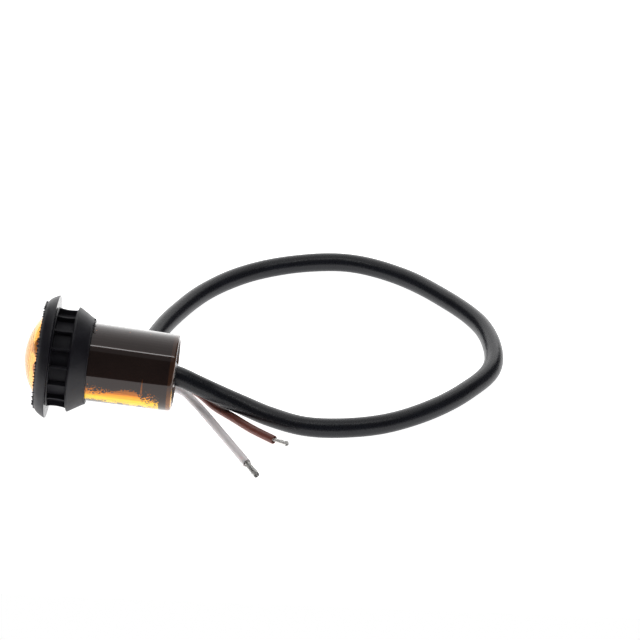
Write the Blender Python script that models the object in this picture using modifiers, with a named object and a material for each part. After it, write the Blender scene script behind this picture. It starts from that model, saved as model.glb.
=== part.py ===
"""Round amber LED turn signal with a push-in rubber grommet and a two-core cord.

Units are metres. The lamp and its grommet are modelled upright: +Z points out of the lens and
z = 0 is the back face of the grommet's flange. The empty lamp_axis then lays them down, lens
towards -X, resting on the flange's edge and on the cord. The origin is on the surface that the
lamp lies on, under the middle of the lamp.
"""

import math

import bmesh
import bpy
from mathutils import Matrix, Vector
from mathutils.geometry import interpolate_bezier

MM = 0.001
TILT = math.radians(6.7)  # how far the lens end points above the surface
SEGMENTS = 64
SMALL_SEGMENTS = 24

# Grommet
FLANGE_RADIUS = 15.0 * MM
FLANGE_EDGE_Z = 0.15 * MM
FLANGE_BACK_EDGE = 0.1 * MM
LIP_RADIUS = 12.75 * MM
LIP_Z = 2.95 * MM
NECK_RADIUS = 12.1 * MM
NECK_LENGTH = 4.8 * MM
COLLAR_RADIUS = 12.8 * MM
COLLAR_END_RADIUS = 10.5 * MM
COLLAR_BAND_Z = (0.1 * MM, 0.4 * MM)  # behind the neck
COLLAR_END_EDGE = (0.2 * MM, 0.25 * MM)
GROMMET_LENGTH = 9.2 * MM  # behind the flange
BORE_RADIUS = 9.66 * MM
SEAT_RADIUS = 11.6 * MM
SEAT_Z = 1.3 * MM
RIBS = 16
RIB_THICKNESS = 0.5 * MM
RIB_HEIGHT = 1.5 * MM
RIB_PHASE = math.radians(18.25)
POCKET_MARGIN = 0.25 * MM
CUT_BEYOND = 1.0 * MM  # how far a cutter reaches past what it cuts

# Lens and housing, one moulding
DOME_RADIUS = 15.5 * MM
DOME_TOP_Z = 6.85 * MM
DOME_WALL = 1.3 * MM
RIM_RADIUS = 11.4 * MM
RIM_Z = (1.4 * MM, 2.55 * MM)
RIM_EDGE = 0.15 * MM
DOME_FOOT_RADIUS = 10.65 * MM
TUBE_RADIUS = 9.6 * MM
TUBE_END_RADIUS = 9.36 * MM  # the moulding's draft
TUBE_WALL = 1.0 * MM
TUBE_LENGTH = 30.1 * MM
TUBE_EDGE = 0.5 * MM

# Inside the housing
REFLECTOR_RADIUS = 8.2 * MM
REFLECTOR_Z = (-1.4 * MM, 2.0 * MM)
REFLECTOR_FLOOR_Z = 0.1 * MM
REFLECTOR_FLOOR_RADIUS = 6.6 * MM
REFLECTOR_RIM = 0.5 * MM
LED_COUNT = 3
LED_CIRCLE = 3.35 * MM
LED_RADIUS = 2.5 * MM
LED_COLLAR_RADIUS = 2.85 * MM
LED_COLLAR_HEIGHT = 1.0 * MM
LED_TIP_Z = 4.85 * MM
LED_HEIGHT = 8.6 * MM
LED_LEG = 0.5 * MM
LED_LEG_PITCH = 2.54 * MM
LED_LEG_END_Z = -7.3 * MM
BOARD_RADIUS = 8.1 * MM
BOARD_Z = (-5.7 * MM, -4.1 * MM)
LEG_HOLE_RADIUS = 0.6 * MM
RESISTOR_SIZE = (3.2 * MM, 1.6 * MM, 0.6 * MM)
DIODE_SIZE = (3.8 * MM, 1.8 * MM, 1.2 * MM)
RESISTOR_X = 2.2 * MM
RESISTOR_Y = -4.9 * MM
DIODE_Y = 5.1 * MM
BOARD_GAP = 0.1 * MM
POTTING_RADIUS = 8.12 * MM
POTTING_Z = (-28.9 * MM, -6.0 * MM)
POTTING_POCKET = (6.9 * MM, -10.4 * MM)  # radius and depth of the hollow behind the board
CORD_BORE_RADIUS = 2.75 * MM
CORD_MOUTH_RADIUS = 3.7 * MM
CORD_MOUTH_Z = -23.0 * MM
GAP = 0.3 * MM

# Cord
CORD_DIAMETER = 4.8 * MM
CORE_DIAMETER = 2.1 * MM
WHITE_STRAND_DIAMETER = 1.3 * MM
BROWN_STRAND_DIAMETER = 1.1 * MM
LEAD_OFFSET = 1.2 * MM
LEAD_Z = (-21.4 * MM, -9.2 * MM)
LEAD_STRAND_END_Z = -7.0 * MM
LEAD_STRAND_RADIUS = 0.5 * MM
LEAD_SEGMENTS = 12
SOLDER_RADIUS = 0.85 * MM
CORD_STEP = 5.5 * MM
CORE_STEP = 3.5 * MM

# The cord's route: from inside the lamp's rear end, down to the surface, round one open loop and
# back behind the lamp, where its jacket ends.
CORD_ROUTE = [
    (0.010, 0.000, 0.0120),
    (0.014, 0.000, 0.0115),
    (0.018, 0.000, 0.0107),
    (0.023, 0.000, 0.0083),
    (0.028, 0.000, 0.0058),
    (0.034, -0.001, 0.0036),
    (0.041, -0.004, 0.0024),
    (0.050, -0.008, 0.0024),
    (0.060, -0.008, 0.0024),
    (0.070, -0.005, 0.0024),
    (0.080, 0.002, 0.0024),
    (0.088, 0.011, 0.0024),
    (0.094, 0.022, 0.0024),
    (0.094, 0.034, 0.0024),
    (0.090, 0.046, 0.0024),
    (0.080, 0.059, 0.0024),
    (0.069, 0.069, 0.0024),
    (0.056, 0.075, 0.0024),
    (0.043, 0.074, 0.0024),
    (0.030, 0.068, 0.0024),
    (0.020, 0.058, 0.0024),
    (0.013, 0.045, 0.0024),
    (0.009, 0.033, 0.0024),
    (0.0075, 0.021, 0.0024),
]
WHITE_ROUTE = [
    (0.0063, 0.0206, 0.0024),
    (0.0069, 0.0180, 0.0019),
    (0.0084, 0.0150, 0.0013),
    (0.011, 0.0125, 0.0011),
    (0.014, 0.0105, 0.0011),
    (0.017, 0.0095, 0.0011),
    (0.019, 0.008, 0.0011),
    (0.021, 0.005, 0.0011),
    (0.024, 0.000, 0.0011),
    (0.029, -0.009, 0.0011),
    (0.034, -0.018, 0.0011),
    (0.037, -0.0235, 0.0011),
]
WHITE_STRAND_END = (0.040, -0.029, 0.0011)
BROWN_ROUTE = [
    (0.0086, 0.0202, 0.0024),
    (0.0092, 0.0182, 0.0020),
    (0.0105, 0.0162, 0.0013),
    (0.0135, 0.0142, 0.0011),
    (0.018, 0.012, 0.0011),
    (0.0225, 0.008, 0.0011),
    (0.027, 0.002, 0.0011),
    (0.032, -0.003, 0.0011),
    (0.037, -0.008, 0.0011),
    (0.0425, -0.0125, 0.0011),
]
BROWN_STRAND_END = (0.0465, -0.0145, 0.0011)

LAMP_FRONT_X = (DOME_TOP_Z - DOME_RADIUS) * -math.cos(TILT) - DOME_RADIUS
LAMP_REAR_X = TUBE_LENGTH * math.cos(TILT) + (TUBE_END_RADIUS - TUBE_EDGE) * math.sin(TILT)
LAMP_X = -(LAMP_FRONT_X + LAMP_REAR_X) / 2
LAMP_HEIGHT = FLANGE_RADIUS * math.cos(TILT) - FLANGE_EDGE_Z * math.sin(TILT)


def clear_scene():
    for obj in list(bpy.data.objects):
        bpy.data.objects.remove(obj)


def new_collection(name):
    collection = bpy.data.collections.new(name)
    bpy.context.scene.collection.children.link(collection)
    return collection


def new_material(name, colour, roughness, metallic=0.0, alpha=1.0):
    material = bpy.data.materials.new(name)
    material.use_nodes = True
    shader = material.node_tree.nodes["Principled BSDF"]
    shader.inputs["Base Color"].default_value = (*colour, 1.0)
    shader.inputs["Roughness"].default_value = roughness
    shader.inputs["Metallic"].default_value = metallic
    shader.inputs["Alpha"].default_value = alpha
    return material


def add_object(name, data, material, parent=None, collection=None):
    obj = bpy.data.objects.new(name, data)
    (collection or PARTS).objects.link(obj)
    if material is not None:
        data.materials.append(material)
    obj.parent = parent
    return obj


def add_mesh(name, mesh_maker, material, parent=None, collection=None):
    """An object whose mesh is filled by mesh_maker(bm)."""
    mesh = bpy.data.meshes.new(name)
    bm = bmesh.new()
    mesh_maker(bm)
    bm.to_mesh(mesh)
    bm.free()
    return add_object(name, mesh, material, parent, collection)


def turned(name, profile, material, parent=None, closed=False, segments=SEGMENTS):
    """A solid of revolution about Z from a profile of (radius, z) points.

    The profile runs down the outer side. With closed it returns up the bore, otherwise both of
    its ends are on the axis.
    """

    def make(bm):
        verts = [bm.verts.new((radius, 0.0, z)) for radius, z in profile]
        for first, second in zip(verts, verts[1:]):
            bm.edges.new((first, second))
        if closed:
            bm.edges.new((verts[-1], verts[0]))

    obj = add_mesh(name, make, material, parent)
    screw = obj.modifiers.new("turn", "SCREW")
    screw.axis = "Z"
    screw.steps = segments
    screw.render_steps = segments
    screw.use_merge_vertices = True
    screw.merge_threshold = 0.00001
    screw.use_smooth_shade = True
    return obj


def arc(centre, radius, start, end, steps):
    """Points (radius, z) on a circle in the profile's plane, angles in degrees from the +R axis."""
    points = []
    for i in range(steps + 1):
        angle = math.radians(start + (end - start) * i / steps)
        points.append((centre[0] + radius * math.cos(angle), centre[1] + radius * math.sin(angle)))
    return points


def dome_arc(radius, inner_r, outer_r, steps):
    """Points down a sphere about the dome's centre, from radius inner_r to outer_r off the axis."""
    centre_z = DOME_TOP_Z - DOME_RADIUS
    start = math.degrees(math.acos(inner_r / radius))
    end = math.degrees(math.acos(outer_r / radius))
    return arc((0.0, centre_z), radius, start, end, steps)


def cutter(name, mesh_maker, parent):
    obj = add_mesh(name, mesh_maker, None, parent, CUTTERS)
    obj.hide_render = True
    obj.display_type = "WIRE"
    return obj


def cut(obj, tool):
    boolean = obj.modifiers.new(tool.name, "BOOLEAN")
    boolean.operation = "DIFFERENCE"
    boolean.solver = "EXACT"
    boolean.object = tool


def add_cylinder(bm, radius, low_z, high_z, centre=(0.0, 0.0), segments=SMALL_SEGMENTS):
    middle = Matrix.Translation((centre[0], centre[1], (low_z + high_z) / 2))
    bmesh.ops.create_cone(
        bm,
        cap_ends=True,
        segments=segments,
        radius1=radius,
        radius2=radius,
        depth=high_z - low_z,
        matrix=middle,
    )


def block(name, size, centre, material, parent, turn=0.0):
    """A box of the given size about centre, turned about Z."""

    def make(bm):
        bmesh.ops.create_cube(bm, size=1.0, matrix=Matrix.Diagonal((*size, 1.0)))

    obj = add_mesh(name, make, material, parent)
    obj.location = centre
    obj.rotation_euler.z = turn
    return obj


def around(radius, angle):
    return (radius * math.cos(angle), radius * math.sin(angle))


# Grommet


def grommet_profile():
    """Down the flange's crowned front, the neck and the tapered collar, then up the bore."""
    back = -GROMMET_LENGTH
    crown = [(13.15, 2.72), (13.75, 2.27), (14.25, 1.65), (14.72, 0.8)]
    return [
        (SEAT_RADIUS, LIP_Z),
        (LIP_RADIUS, LIP_Z),
        *[(r * MM, z * MM) for r, z in crown],
        (FLANGE_RADIUS, FLANGE_EDGE_Z),
        (FLANGE_RADIUS - FLANGE_BACK_EDGE, 0.0),
        (NECK_RADIUS, 0.0),
        (NECK_RADIUS, -NECK_LENGTH),
        (COLLAR_RADIUS, -NECK_LENGTH - COLLAR_BAND_Z[0]),
        (COLLAR_RADIUS, -NECK_LENGTH - COLLAR_BAND_Z[1]),
        (COLLAR_END_RADIUS, back + COLLAR_END_EDGE[1]),
        (COLLAR_END_RADIUS - COLLAR_END_EDGE[0], back),
        (BORE_RADIUS, back),
        (BORE_RADIUS, SEAT_Z),
        (SEAT_RADIUS, SEAT_Z),
    ]


def add_rib_pockets(bm):
    """One wedge between each two ribs, wider outwards so that the ribs keep their thickness."""
    floor = NECK_RADIUS - RIB_HEIGHT
    top = NECK_RADIUS + CUT_BEYOND
    pitch = 2 * math.pi / RIBS
    length = NECK_LENGTH - 2 * POCKET_MARGIN
    for i in range(RIBS):
        verts = bmesh.ops.create_cube(bm, size=1.0)["verts"]
        for vert in verts:
            radius = top if vert.co.x > 0 else floor
            half_width = radius * math.tan(pitch / 2) - RIB_THICKNESS / 2
            vert.co.x = radius
            vert.co.y = half_width if vert.co.y > 0 else -half_width
            vert.co.z = vert.co.z * length - NECK_LENGTH / 2
        turn = Matrix.Rotation(RIB_PHASE + pitch * (i + 0.5), 3, "Z")
        bmesh.ops.rotate(bm, verts=verts, cent=(0.0, 0.0, 0.0), matrix=turn)


def make_grommet(axis):
    rubber = new_material("black_rubber", (0.014, 0.014, 0.016), 0.45)
    grommet = turned("grommet", grommet_profile(), rubber, axis, closed=True)
    cut(grommet, cutter("rib_pockets", add_rib_pockets, axis))


# Housing and what is in it


def housing_profile():
    """Down the dome, the rim and the tube, then up the inside to the middle of the dome."""
    end = -TUBE_LENGTH
    inner_dome = DOME_RADIUS - DOME_WALL
    bore_front = TUBE_RADIUS - TUBE_WALL
    inside = dome_arc(inner_dome, 0.0, bore_front, 8)
    return [
        *dome_arc(DOME_RADIUS, 0.0, DOME_FOOT_RADIUS, 10),
        (RIM_RADIUS - RIM_EDGE, RIM_Z[1]),
        (RIM_RADIUS, RIM_Z[1] - RIM_EDGE),
        (RIM_RADIUS, RIM_Z[0]),
        (TUBE_RADIUS, RIM_Z[0]),
        (TUBE_END_RADIUS, end + TUBE_EDGE),
        (TUBE_END_RADIUS - 0.35 * TUBE_EDGE, end + 0.3 * TUBE_EDGE),
        (TUBE_END_RADIUS - TUBE_EDGE, end),
        (TUBE_END_RADIUS - TUBE_WALL, end),
        *reversed(inside),
    ]


def make_housing(axis):
    amber = new_material("amber_plastic", (0.85, 0.27, 0.01), 0.08, alpha=0.6)
    turned("lens_housing", housing_profile(), amber, axis)


def led_angle(index):
    return math.pi / 2 + 2 * math.pi * index / LED_COUNT


def add_led_holes(bm):
    for i in range(LED_COUNT):
        centre = around(LED_CIRCLE, led_angle(i))
        add_cylinder(bm, LED_RADIUS + GAP, REFLECTOR_Z[0] - CUT_BEYOND, REFLECTOR_Z[1] + CUT_BEYOND, centre)


def make_reflector(axis):
    white = new_material("white_reflector", (0.8, 0.8, 0.78), 0.3)
    profile = [
        (0.0, REFLECTOR_FLOOR_Z),
        (REFLECTOR_FLOOR_RADIUS, REFLECTOR_FLOOR_Z),
        (REFLECTOR_RADIUS - REFLECTOR_RIM, REFLECTOR_Z[1]),
        (REFLECTOR_RADIUS, REFLECTOR_Z[1]),
        (REFLECTOR_RADIUS, REFLECTOR_Z[0]),
        (0.0, REFLECTOR_Z[0]),
    ]
    reflector = turned("reflector", profile, white, axis)
    cut(reflector, cutter("led_holes", add_led_holes, axis))


def leg_centres():
    """The two leg positions of each LED, side by side across its own radius."""
    centres = []
    for i in range(LED_COUNT):
        angle = led_angle(i)
        middle = Vector(around(LED_CIRCLE, angle))
        across = Vector((-math.sin(angle), math.cos(angle))) * LED_LEG_PITCH / 2
        centres.append((middle - across, middle + across))
    return centres


def make_leds(axis):
    epoxy = new_material("amber_led", (0.9, 0.42, 0.05), 0.12)
    tin = new_material("tinned_leg", (0.62, 0.62, 0.6), 0.35, 1.0)
    base_z = LED_TIP_Z - LED_HEIGHT
    shoulder_z = LED_TIP_Z - LED_RADIUS
    profile = [
        *arc((0.0, shoulder_z), LED_RADIUS, 90.0, 0.0, 7),
        (LED_RADIUS, base_z + LED_COLLAR_HEIGHT),
        (LED_COLLAR_RADIUS, base_z + LED_COLLAR_HEIGHT),
        (LED_COLLAR_RADIUS, base_z),
        (0.0, base_z),
    ]
    leg_top = base_z - GAP
    leg_size = (LED_LEG, LED_LEG, leg_top - LED_LEG_END_Z)
    for i, pair in enumerate(leg_centres()):
        led = turned(f"led_{i + 1}", profile, epoxy, axis, segments=SMALL_SEGMENTS)
        led.location = (*around(LED_CIRCLE, led_angle(i)), 0.0)
        for side, centre in zip(("anode", "cathode"), pair):
            place = (*centre, (leg_top + LED_LEG_END_Z) / 2)
            block(f"led_{i + 1}_{side}_leg", leg_size, place, tin, axis, led_angle(i))


def add_leg_holes(bm):
    low = BOARD_Z[0] - CUT_BEYOND
    high = BOARD_Z[1] + CUT_BEYOND
    for pair in leg_centres():
        for centre in pair:
            add_cylinder(bm, LEG_HOLE_RADIUS, low, high, centre, LEAD_SEGMENTS)


def make_board(axis):
    laminate = new_material("white_circuit_board", (0.75, 0.75, 0.7), 0.4)
    black = new_material("component_black", (0.02, 0.02, 0.02), 0.4)

    def make(bm):
        add_cylinder(bm, BOARD_RADIUS, *BOARD_Z, segments=48)

    board = add_mesh("circuit_board", make, laminate, axis)
    cut(board, cutter("leg_holes", add_leg_holes, axis))
    under = BOARD_Z[0] - BOARD_GAP
    for i, x in enumerate((-RESISTOR_X, RESISTOR_X)):
        place = (x, RESISTOR_Y, under - RESISTOR_SIZE[2] / 2)
        block(f"series_resistor_{i + 1}", RESISTOR_SIZE, place, black, axis)
    place = (0.0, DIODE_Y, under - DIODE_SIZE[2] / 2)
    block("polarity_diode", DIODE_SIZE, place, black, axis)


def make_potting(axis):
    epoxy = new_material("black_potting", (0.01, 0.01, 0.01), 0.25)
    rear, front = POTTING_Z
    pocket_radius, pocket_z = POTTING_POCKET
    profile = [
        (POTTING_RADIUS, front),
        (POTTING_RADIUS, rear),
        (CORD_MOUTH_RADIUS, rear),
        (CORD_BORE_RADIUS, CORD_MOUTH_Z),
        (CORD_BORE_RADIUS, pocket_z),
        (pocket_radius, pocket_z),
        (pocket_radius, front),
    ]
    turned("potting_compound", profile, epoxy, axis, closed=True, segments=48)


def make_inner_leads(axis):
    """The two cores from the jacket's inner end to the back of the board."""
    tin = bpy.data.materials["tinned_leg"]
    leads = (("white", -LEAD_OFFSET, WHITE), ("brown", LEAD_OFFSET, BROWN))
    solder_top = BOARD_Z[0] - BOARD_GAP
    solder_low = LEAD_STRAND_END_Z + BOARD_GAP
    for colour, y, material in leads:

        def insulation(bm, y=y):
            add_cylinder(bm, CORE_DIAMETER / 2, *LEAD_Z, (0.0, y), LEAD_SEGMENTS)

        def strands(bm, y=y):
            low = LEAD_Z[1] + GAP
            add_cylinder(bm, LEAD_STRAND_RADIUS, low, LEAD_STRAND_END_Z, (0.0, y), LEAD_SEGMENTS)

        add_mesh(f"{colour}_inner_core", insulation, material, axis)
        add_mesh(f"{colour}_inner_strands", strands, tin, axis)
        profile = [
            (0.0, solder_top),
            (SOLDER_RADIUS, solder_top),
            (0.55 * SOLDER_RADIUS, (solder_top + solder_low) / 2),
            (0.4 * SOLDER_RADIUS, solder_low),
            (0.0, solder_low),
        ]
        joint = turned(f"{colour}_solder_joint", profile, tin, axis, segments=16)
        joint.location.y = y


# Cord


def smooth_route(points, step):
    """Points about step apart on a smooth curve through the route's own points."""
    knots = [Vector(p) for p in points]
    ends = [2 * knots[0] - knots[1], *knots, 2 * knots[-1] - knots[-2]]
    fine = []
    for before, start, end, after in zip(ends, ends[1:], ends[2:], ends[3:]):
        span = (end - start).length
        handle = span / 3
        out = (end - before).normalized() * handle
        into = (after - start).normalized() * handle
        fine.extend(interpolate_bezier(start, start + out, end - into, end, 12)[:-1])
    fine.append(knots[-1])
    lengths = [0.0]
    for first, second in zip(fine, fine[1:]):
        lengths.append(lengths[-1] + (second - first).length)
    count = max(2, round(lengths[-1] / step))
    sampled = []
    index = 0
    for i in range(count + 1):
        target = lengths[-1] * i / count
        while index < len(fine) - 2 and lengths[index + 1] < target:
            index += 1
        part = (target - lengths[index]) / (lengths[index + 1] - lengths[index])
        sampled.append(fine[index].lerp(fine[index + 1], part))
    return sampled


def tube(name, points, diameter, material, resolution):
    curve = bpy.data.curves.new(name, "CURVE")
    curve.dimensions = "3D"
    curve.bevel_depth = diameter / 2
    curve.bevel_resolution = resolution
    curve.use_fill_caps = True
    spline = curve.splines.new("POLY")
    spline.points.add(len(points) - 1)
    for point, place in zip(spline.points, points):
        point.co = (*place, 1.0)
    return add_object(name, curve, material)


def strand_points(route, end):
    """From just beyond the insulation's end face to the strands' tip."""
    start = Vector(route[-1])
    tip = Vector(end)
    return [start + (tip - start).normalized() * GAP, tip]


def make_cord():
    jacket = new_material("black_jacket", (0.012, 0.012, 0.013), 0.4)
    tin = bpy.data.materials["tinned_leg"]
    tube("cord_jacket", smooth_route(CORD_ROUTE, CORD_STEP), CORD_DIAMETER, jacket, 4)
    tube("white_core", smooth_route(WHITE_ROUTE, CORE_STEP), CORE_DIAMETER, WHITE, 2)
    tube("brown_core", smooth_route(BROWN_ROUTE, CORE_STEP), CORE_DIAMETER, BROWN, 2)
    white_tip = strand_points(WHITE_ROUTE, WHITE_STRAND_END)
    brown_tip = strand_points(BROWN_ROUTE, BROWN_STRAND_END)
    tube("white_strands", white_tip, WHITE_STRAND_DIAMETER, tin, 2)
    tube("brown_strands", brown_tip, BROWN_STRAND_DIAMETER, tin, 2)


clear_scene()
PARTS = new_collection("turn_signal_indicator")
CUTTERS = new_collection("cutters")
WHITE = new_material("white_insulation", (0.7, 0.68, 0.68), 0.45)
BROWN = new_material("brown_insulation", (0.17, 0.06, 0.045), 0.4)

lamp_axis = add_object("lamp_axis", None, None)
lamp_axis.location = (LAMP_X, 0.0, LAMP_HEIGHT)
lamp_axis.rotation_euler.y = TILT - math.pi / 2

make_grommet(lamp_axis)
make_housing(lamp_axis)
make_reflector(lamp_axis)
make_leds(lamp_axis)
make_board(lamp_axis)
make_potting(lamp_axis)
make_inner_leads(lamp_axis)
make_cord()
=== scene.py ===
"""The looks of a round amber LED turn signal in a push-in rubber grommet.

Metres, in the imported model's frame. Pieces of the lamp are made upright, with +Z out of the
lens and z = 0 at the back face of the grommet's flange, and are laid down by LAMP.
"""

import math

import bpy
import numpy as np
from mathutils import Matrix, Vector
from mathutils.geometry import interpolate_bezier


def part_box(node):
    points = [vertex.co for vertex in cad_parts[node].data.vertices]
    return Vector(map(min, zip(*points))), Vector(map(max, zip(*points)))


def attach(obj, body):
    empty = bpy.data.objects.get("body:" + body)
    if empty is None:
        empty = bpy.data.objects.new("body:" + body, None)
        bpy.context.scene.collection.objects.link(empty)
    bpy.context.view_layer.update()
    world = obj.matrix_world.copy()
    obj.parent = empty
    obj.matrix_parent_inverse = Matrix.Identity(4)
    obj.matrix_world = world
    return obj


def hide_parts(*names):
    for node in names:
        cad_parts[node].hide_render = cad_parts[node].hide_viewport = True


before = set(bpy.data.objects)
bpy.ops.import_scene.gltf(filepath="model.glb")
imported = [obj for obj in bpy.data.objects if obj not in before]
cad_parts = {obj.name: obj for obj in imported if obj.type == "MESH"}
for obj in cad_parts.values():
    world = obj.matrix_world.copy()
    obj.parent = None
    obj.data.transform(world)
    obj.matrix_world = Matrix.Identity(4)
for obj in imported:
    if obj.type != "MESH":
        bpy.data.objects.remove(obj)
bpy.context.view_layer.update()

MM = 0.001
TILT = math.radians(6.7)

TUBE_LENGTH = 30.1 * MM
TUBE_END_RADIUS = 8.86 * MM
FLANGE_RADIUS = 15.0 * MM
FLANGE_EDGE_Z = 0.15 * MM

# The lamp's own origin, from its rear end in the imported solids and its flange's edge on the floor.
REAR_X = TUBE_LENGTH * math.cos(TILT) + TUBE_END_RADIUS * math.sin(TILT)
LAMP_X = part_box("lens_housing")[1].x - REAR_X
LAMP_HEIGHT = FLANGE_RADIUS * math.cos(TILT) - FLANGE_EDGE_Z * math.sin(TILT)
LAMP = Matrix.Translation((LAMP_X, 0.0, LAMP_HEIGHT)) @ Matrix.Rotation(TILT - math.pi / 2, 4, "Y")

CAMERA_AIM = (0.0497, 0.0485, 0.0)
CAMERA_AZIMUTH = math.radians(3.8)
CAMERA_ELEVATION = math.radians(29.5)
CAMERA_DISTANCE = 0.851
CAMERA_LENS = 186.6  # millimetres

# Sizes of the turned and ribbed pieces, in millimetres and degrees, as their profiles take them.
NECK_RADIUS = 12.1
POCKET_FLOOR_RADIUS = 10.6
RIBS = 16
RIB_PHASE = 18.25
DOME_RADIUS = 15.5
DOME_INNER_RADIUS = 14.2
DOME_CENTRE_Z = -8.65
LED_CIRCLE = 3.35
LED_RADIUS = 2.5

JACKET_DIAMETER = 4.8 * MM
CORE_DIAMETER = 2.1 * MM
JACKET_SIDES = 56
CORE_SIDES = 32

ROOM_LEVEL = 0.09
SEEN_BACKGROUND_LEVEL = 1.0
TABLE_GLOW = 1.05

# The cord's route, as in the solid model.
CORD_ROUTE = [
    (0.010, 0.000, 0.0120),
    (0.014, 0.000, 0.0115),
    (0.018, 0.000, 0.0107),
    (0.023, 0.000, 0.0083),
    (0.028, 0.000, 0.0058),
    (0.034, -0.001, 0.0036),
    (0.041, -0.004, 0.0024),
    (0.050, -0.008, 0.0024),
    (0.060, -0.008, 0.0024),
    (0.070, -0.005, 0.0024),
    (0.080, 0.002, 0.0024),
    (0.088, 0.011, 0.0024),
    (0.094, 0.022, 0.0024),
    (0.094, 0.034, 0.0024),
    (0.090, 0.046, 0.0024),
    (0.080, 0.059, 0.0024),
    (0.069, 0.069, 0.0024),
    (0.056, 0.075, 0.0024),
    (0.043, 0.074, 0.0024),
    (0.030, 0.068, 0.0024),
    (0.020, 0.058, 0.0024),
    (0.013, 0.045, 0.0024),
    (0.009, 0.033, 0.0024),
    (0.0075, 0.021, 0.0024),
]
WHITE_ROUTE = [
    (0.0063, 0.0206, 0.0024),
    (0.0069, 0.0180, 0.0019),
    (0.0084, 0.0150, 0.0013),
    (0.011, 0.0125, 0.0011),
    (0.014, 0.0105, 0.0011),
    (0.017, 0.0095, 0.0011),
    (0.019, 0.008, 0.0011),
    (0.021, 0.005, 0.0011),
    (0.024, 0.000, 0.0011),
    (0.029, -0.009, 0.0011),
    (0.034, -0.018, 0.0011),
    (0.037, -0.0235, 0.0011),
]
WHITE_STRAND_END = (0.040, -0.029, 0.0011)
BROWN_ROUTE = [
    (0.0086, 0.0202, 0.0024),
    (0.0092, 0.0182, 0.0020),
    (0.0105, 0.0162, 0.0013),
    (0.0135, 0.0142, 0.0011),
    (0.018, 0.012, 0.0011),
    (0.0225, 0.008, 0.0011),
    (0.027, 0.002, 0.0011),
    (0.032, -0.003, 0.0011),
    (0.037, -0.008, 0.0011),
    (0.0425, -0.0125, 0.0011),
]
BROWN_STRAND_END = (0.0465, -0.0145, 0.0011)


# ---------------------------------------------------------------- mesh helpers


def new_object(name, data, material, matrix=None):
    obj = bpy.data.objects.new(name, data)
    bpy.context.scene.collection.objects.link(obj)
    if material is not None:
        data.materials.append(material)
    if matrix is not None:
        obj.matrix_world = matrix
    return obj


def grid_mesh(name, rows, material, matrix=None, wrap_rows=False, wrap=True, caps=(False, False), uv=None):
    """A mesh from rows of points, each row a ring. caps closes the first or last ring to a point."""
    rows = np.asarray(rows, float)
    count, around = rows.shape[:2]
    verts = rows.reshape(-1, 3)
    faces = []
    last = count if wrap_rows else count - 1
    columns = around if wrap else around - 1
    for i in range(last):
        a = i * around
        b = ((i + 1) % count) * around
        for j in range(columns):
            k = (j + 1) % around
            faces.append((a + j, b + j, b + k, a + k))
    extra = []
    for which, row in ((0, 0), (1, count - 1)):
        if caps[which]:
            centre = len(verts) + len(extra)
            extra.append(rows[row].mean(0))
            base = row * around
            for j in range(around):
                k = (j + 1) % around
                face = (base + j, base + k, centre) if which == 0 else (base + j, centre, base + k)
                faces.append(face)
    if extra:
        verts = np.vstack([verts, extra])
    mesh = bpy.data.meshes.new(name)
    mesh.from_pydata(verts.tolist(), [], faces)
    mesh.update()
    mesh.shade_smooth()
    if uv is not None:
        layer = mesh.uv_layers.new(name="route")
        coords = np.zeros((len(verts), 2))
        coords[: count * around] = uv.reshape(-1, 2)
        for loop in mesh.loops:
            layer.data[loop.index].uv = coords[loop.vertex_index]
    return new_object(name, mesh, material, matrix)


def ring_points(radius, z, angles):
    """A ring about Z. radius and z may vary with the angle."""
    angles = np.asarray(angles)
    radius = np.broadcast_to(radius, angles.shape)
    z = np.broadcast_to(z, angles.shape)
    return np.stack([radius * np.cos(angles), radius * np.sin(angles), z], 1)


def turned(name, profile, material, segments=160, caps=(False, False), wrap_rows=False, centre=(0.0, 0.0)):
    angles = np.linspace(0, 2 * math.pi, segments, endpoint=False)
    rows = [ring_points(r * MM, z * MM, angles) for r, z in profile]
    shift = np.array([centre[0] * MM, centre[1] * MM, 0.0])
    return grid_mesh(name, np.array(rows) + shift, material, LAMP, wrap_rows, True, caps)


def smooth_profile(points, per_span=5):
    """More points on a smooth curve through the profile's points."""
    knots = [Vector((r, z, 0.0)) for r, z in points]
    fine = smooth_line(knots, per_span)
    return [(p.x, p.y) for p in fine]


def smooth_line(knots, per_span=12):
    knots = [Vector(p) for p in knots]
    ends = [2 * knots[0] - knots[1], *knots, 2 * knots[-1] - knots[-2]]
    fine = []
    for before, start, end, after in zip(ends, ends[1:], ends[2:], ends[3:]):
        handle = (end - start).length / 3
        out = (end - before).normalized() * handle
        into = (after - start).normalized() * handle
        fine.extend(interpolate_bezier(start, start + out, end - into, end, per_span + 1)[:-1])
    fine.append(knots[-1])
    return fine


def even_points(line, step):
    """Points evenly spaced along a line, as an array."""
    line = np.array([tuple(p) for p in line])
    lengths = np.concatenate([[0], np.cumsum(np.linalg.norm(np.diff(line, axis=0), axis=1))])
    count = max(2, int(round(lengths[-1] / step)))
    at = np.linspace(0, lengths[-1], count + 1)
    return np.stack([np.interp(at, lengths, line[:, k]) for k in range(3)], 1), lengths[-1]


def frames_along(points):
    """Two sets of unit vectors square to the line, carried along it without twist."""
    tangents = np.gradient(points, axis=0)
    tangents /= np.linalg.norm(tangents, axis=1)[:, None]
    side = np.cross(tangents[0], (0.0, 0.0, 1.0))
    side /= np.linalg.norm(side)
    sides, ups = [], []
    for tangent in tangents:
        side = side - tangent * (side @ tangent)
        side /= np.linalg.norm(side)
        sides.append(side)
        ups.append(np.cross(side, tangent))
    return np.array(sides), np.array(ups)


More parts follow.
